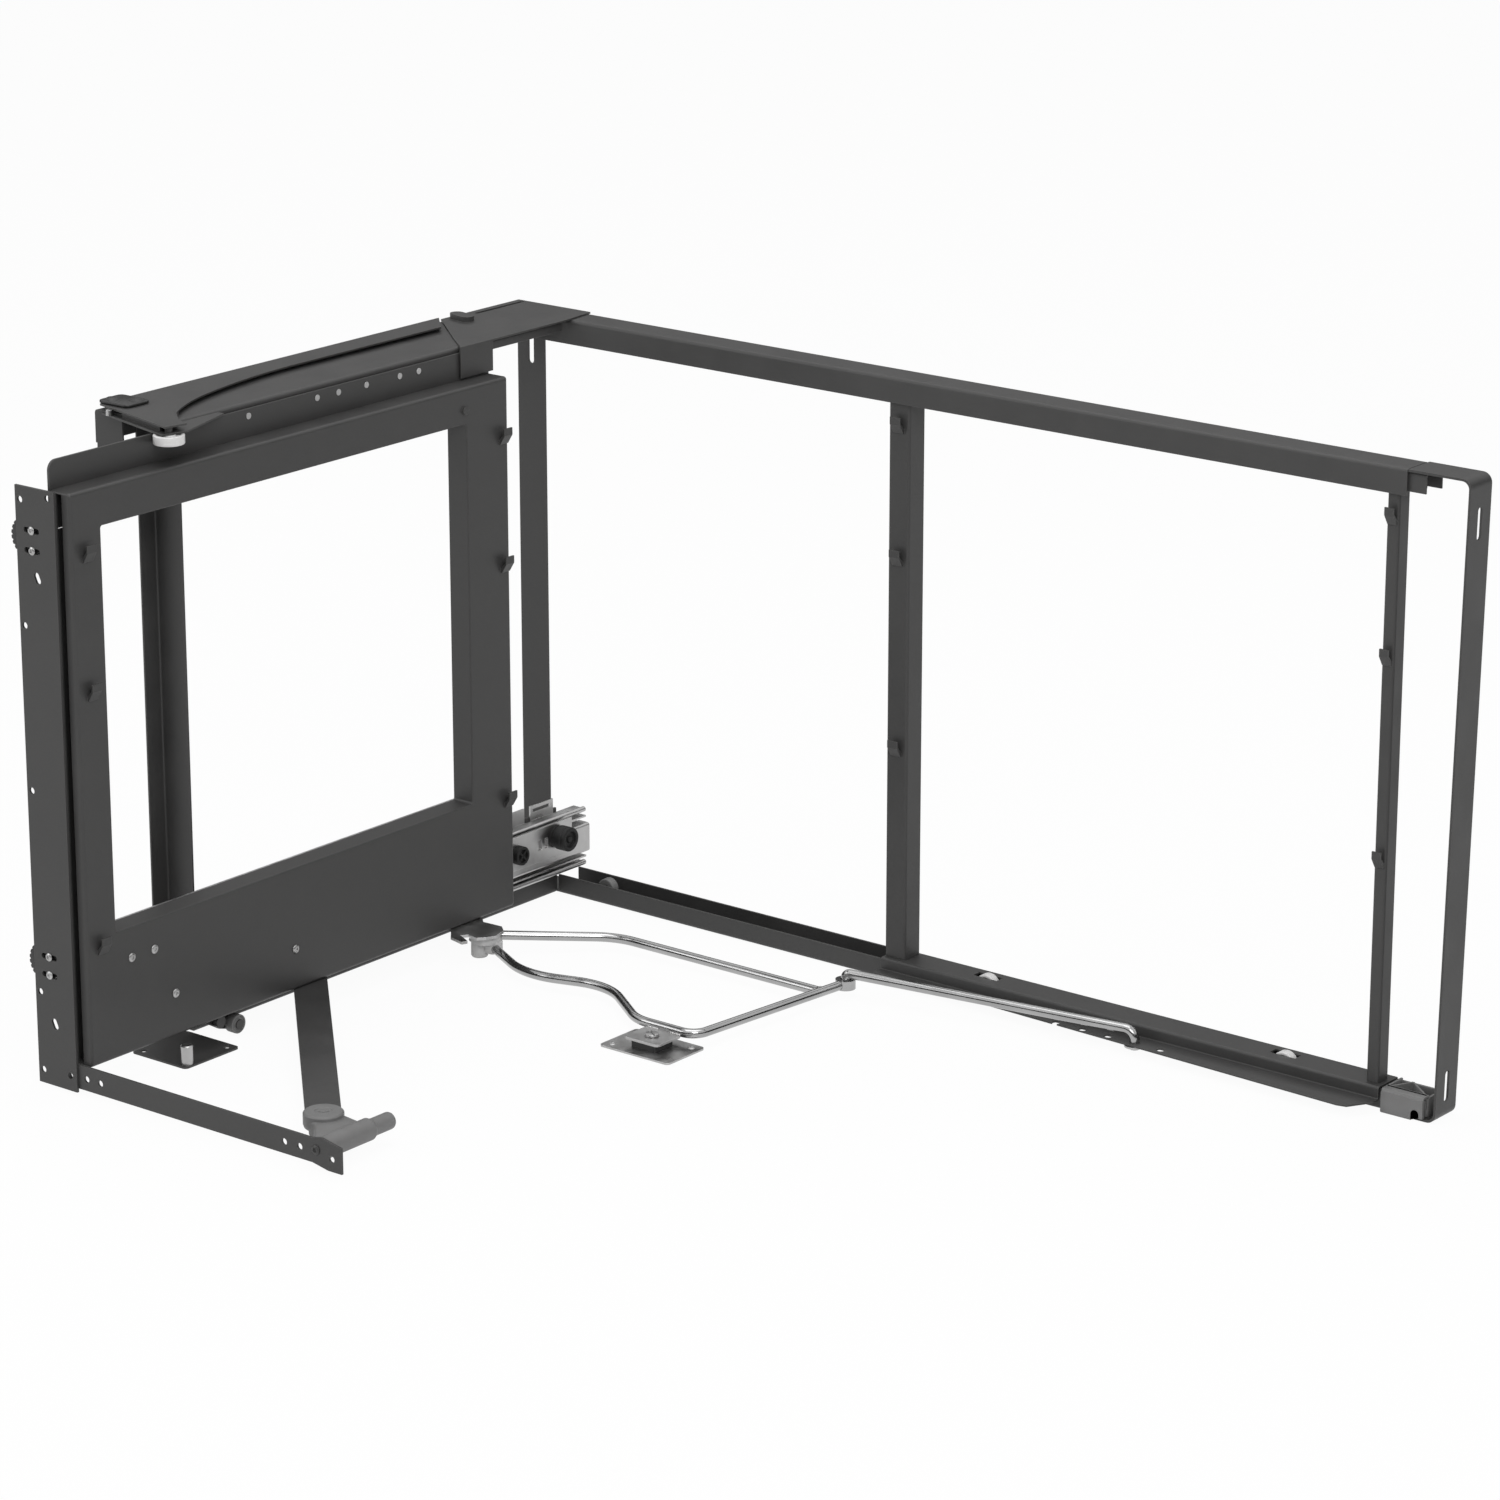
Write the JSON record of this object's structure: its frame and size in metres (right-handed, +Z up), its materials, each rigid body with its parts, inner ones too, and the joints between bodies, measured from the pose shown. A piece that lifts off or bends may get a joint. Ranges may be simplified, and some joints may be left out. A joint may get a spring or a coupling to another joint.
{
  "type": "corner cabinet pull-out",
  "caption": "Left-hand corner cabinet pull-out: a front frame on a side runner slides out and a floor lever draws the rear frame across.",
  "frame": {"origin": "inner rear-left corner of the cabinet carcass at floor level", "axes": "+X along the back wall to the right, +Y into the cabinet (back wall at Y = 0), +Z up"},
  "size_m": [0.9639, 0.6445, 0.524],
  "materials": {
    "dark_steel": "fine matt powder coat, anthracite",
    "zinc": "zinc plated, dull",
    "chrome": "bright chrome plating on round wire",
    "grey_plastic": "moulded, satin mid grey",
    "black_plastic": "moulded, satin black",
    "black_rubber": "matt black rubber",
    "pale_plastic": "moulded, off-white, slightly glossy"
  },
  "bodies": {
    "fixed_frame": {"side_top_rail": "dark_steel", "side_front_upright": "dark_steel", "side_floor_rail": "dark_steel", "rear_left_strip": "dark_steel", "rear_top_rail": "dark_steel", "rail_end_piece": "dark_steel", "right_end_strip": "dark_steel", "rear_bottom_track": "dark_steel", "corner_bracket": "dark_steel", "top_arm_upper": "dark_steel", "top_arm_lower": "dark_steel", "arm_pins": "zinc", "guide_roller_axle": "dark_steel", "rail_front_cap": "black_plastic", "left_floor_plate": "dark_steel", "left_guide_pin": "zinc", "pivot_floor_plate": "zinc", "pivot_block": "black_plastic", "lever_pivot_pin": "zinc", "track_end_stop": "grey_plastic", "track_buffer": "grey_plastic", "runner_outer": "zinc", "runner_screws": "zinc"},
    "guide_roller": {"guide_roller": "pale_plastic"},
    "runner_middle": {"runner_middle": "zinc"},
    "outer_ball_cage": {"outer_ball_cage": "zinc"},
    "inner_ball_cage": {"inner_ball_cage": "zinc"},
    "front_frame": {"runner_inner": "zinc", "runner_carrier_plate": "zinc", "carrier_buffers": "black_rubber", "front_frame_tray": "dark_steel", "top_guide_plate": "dark_steel", "guide_plate_rivets": "zinc", "lever_catch": "zinc", "guide_wheel_bracket": "dark_steel", "door_strip": "dark_steel", "door_bar": "dark_steel", "front_frame_screws": "zinc", "adjuster_brackets": "dark_steel", "adjuster_wheel_pins": "zinc", "brace_bar": "dark_steel", "brace_connector": "grey_plastic"},
    "guide_wheel": {"guide_wheel": "grey_plastic"},
    "lower_adjuster_wheel": {"lower_adjuster_wheel": "black_plastic"},
    "upper_adjuster_wheel": {"upper_adjuster_wheel": "black_plastic"},
    "rear_frame": {"rear_channel": "dark_steel", "wheel_axles": "zinc", "rear_left_upright": "dark_steel", "rear_right_upright": "dark_steel", "rear_top_carrier": "dark_steel"},
    "rear_wheel_left": {"rear_wheel_left": "pale_plastic"},
    "rear_wheel_right": {"rear_wheel_right": "pale_plastic"},
    "top_roller_left": {"top_roller_left": "pale_plastic"},
    "top_roller_right": {"top_roller_right": "pale_plastic"},
    "lever": {"lever_main_rod": "chrome", "lever_brace_rod": "chrome", "lever_hub": "grey_plastic", "lever_pivot_plate": "zinc"},
    "link": {"link_rod": "chrome", "link_washer": "zinc"}
  },
  "joints": [
    {"name": "front_pull_out", "type": "slide", "parent": "fixed_frame", "child": "front_frame", "axis": [0, -1, 0], "range_m": [0, 0.43]},
    {"name": "runner_middle_slide", "type": "slide", "parent": "fixed_frame", "child": "runner_middle", "axis": [0, -1, 0], "range_m": [0, 0.215]},
    {"name": "outer_cage_slide", "type": "slide", "parent": "fixed_frame", "child": "outer_ball_cage", "axis": [0, -1, 0], "range_m": [0, 0.1075]},
    {"name": "inner_cage_slide", "type": "slide", "parent": "fixed_frame", "child": "inner_ball_cage", "axis": [0, -1, 0], "range_m": [0, 0.3225]},
    {"name": "rear_frame_slide", "type": "slide", "parent": "fixed_frame", "child": "rear_frame", "axis": [-1, 0, 0], "range_m": [0, 0.2927]},
    {"name": "lever_swing", "type": "hinge", "parent": "fixed_frame", "child": "lever", "pos_m": [0.373, -0.276, 0.009], "axis": [0, 0, 1], "range_deg": [0, 85.1]},
    {"name": "link_swing", "type": "hinge", "parent": "rear_frame", "child": "link", "pos_m": [0.684, -0.045, 0.009], "axis": [0, 0, 1], "range_deg": [0, 30.9]},
    {"name": "guide_roller_spin", "type": "hinge", "parent": "fixed_frame", "child": "guide_roller", "pos_m": [0.095, -0.521, 0.508], "axis": [0, 0, 1], "range_deg": [0, 1975]},
    {"name": "rear_wheel_left_spin", "type": "hinge", "parent": "rear_frame", "child": "rear_wheel_left", "pos_m": [0.516, -0.014, 0.0118], "axis": [0, 1, 0], "range_deg": [-1680, 0]},
    {"name": "rear_wheel_right_spin", "type": "hinge", "parent": "rear_frame", "child": "rear_wheel_right", "pos_m": [0.807, -0.014, 0.0118], "axis": [0, 1, 0], "range_deg": [-1680, 0]},
    {"name": "top_roller_left_spin", "type": "hinge", "parent": "rear_frame", "child": "top_roller_left", "pos_m": [0.432, -0.015, 0.505], "axis": [0, 0, 1], "range_deg": [0, 1345]},
    {"name": "top_roller_right_spin", "type": "hinge", "parent": "rear_frame", "child": "top_roller_right", "pos_m": [0.885, -0.015, 0.505], "axis": [0, 0, 1], "range_deg": [0, 1345]},
    {"name": "guide_wheel_spin", "type": "hinge", "parent": "front_frame", "child": "guide_wheel", "pos_m": [0.09, -0.465, 0.011], "axis": [1, 0, 0], "continuous": true},
    {"name": "lower_adjuster_turn", "type": "hinge", "parent": "front_frame", "child": "lower_adjuster_wheel", "pos_m": [0.057, -0.637, 0.104], "axis": [0, 1, 0], "continuous": true},
    {"name": "upper_adjuster_turn", "type": "hinge", "parent": "front_frame", "child": "upper_adjuster_wheel", "pos_m": [0.057, -0.637, 0.448], "axis": [0, 1, 0], "continuous": true}
  ],
  "couplings": [
    {"joint": "runner_middle_slide", "follows": "front_pull_out", "ratio": 0.5},
    {"joint": "outer_cage_slide", "follows": "front_pull_out", "ratio": 0.25},
    {"joint": "inner_cage_slide", "follows": "front_pull_out", "ratio": 0.75},
    {"joint": "rear_frame_slide", "follows": "front_pull_out", "ratio": 0.68046},
    {"joint": "lever_swing", "follows": "front_pull_out", "rad_per_m": 3.4501},
    {"joint": "link_swing", "follows": "front_pull_out", "rad_per_m": 1.2542},
    {"joint": "guide_roller_spin", "follows": "front_pull_out", "rad_per_m": 80},
    {"joint": "rear_wheel_left_spin", "follows": "front_pull_out", "rad_per_m": -68.047},
    {"joint": "rear_wheel_right_spin", "follows": "front_pull_out", "rad_per_m": -68.047},
    {"joint": "top_roller_left_spin", "follows": "front_pull_out", "rad_per_m": 54.437},
    {"joint": "top_roller_right_spin", "follows": "front_pull_out", "rad_per_m": 54.437}
  ]
}
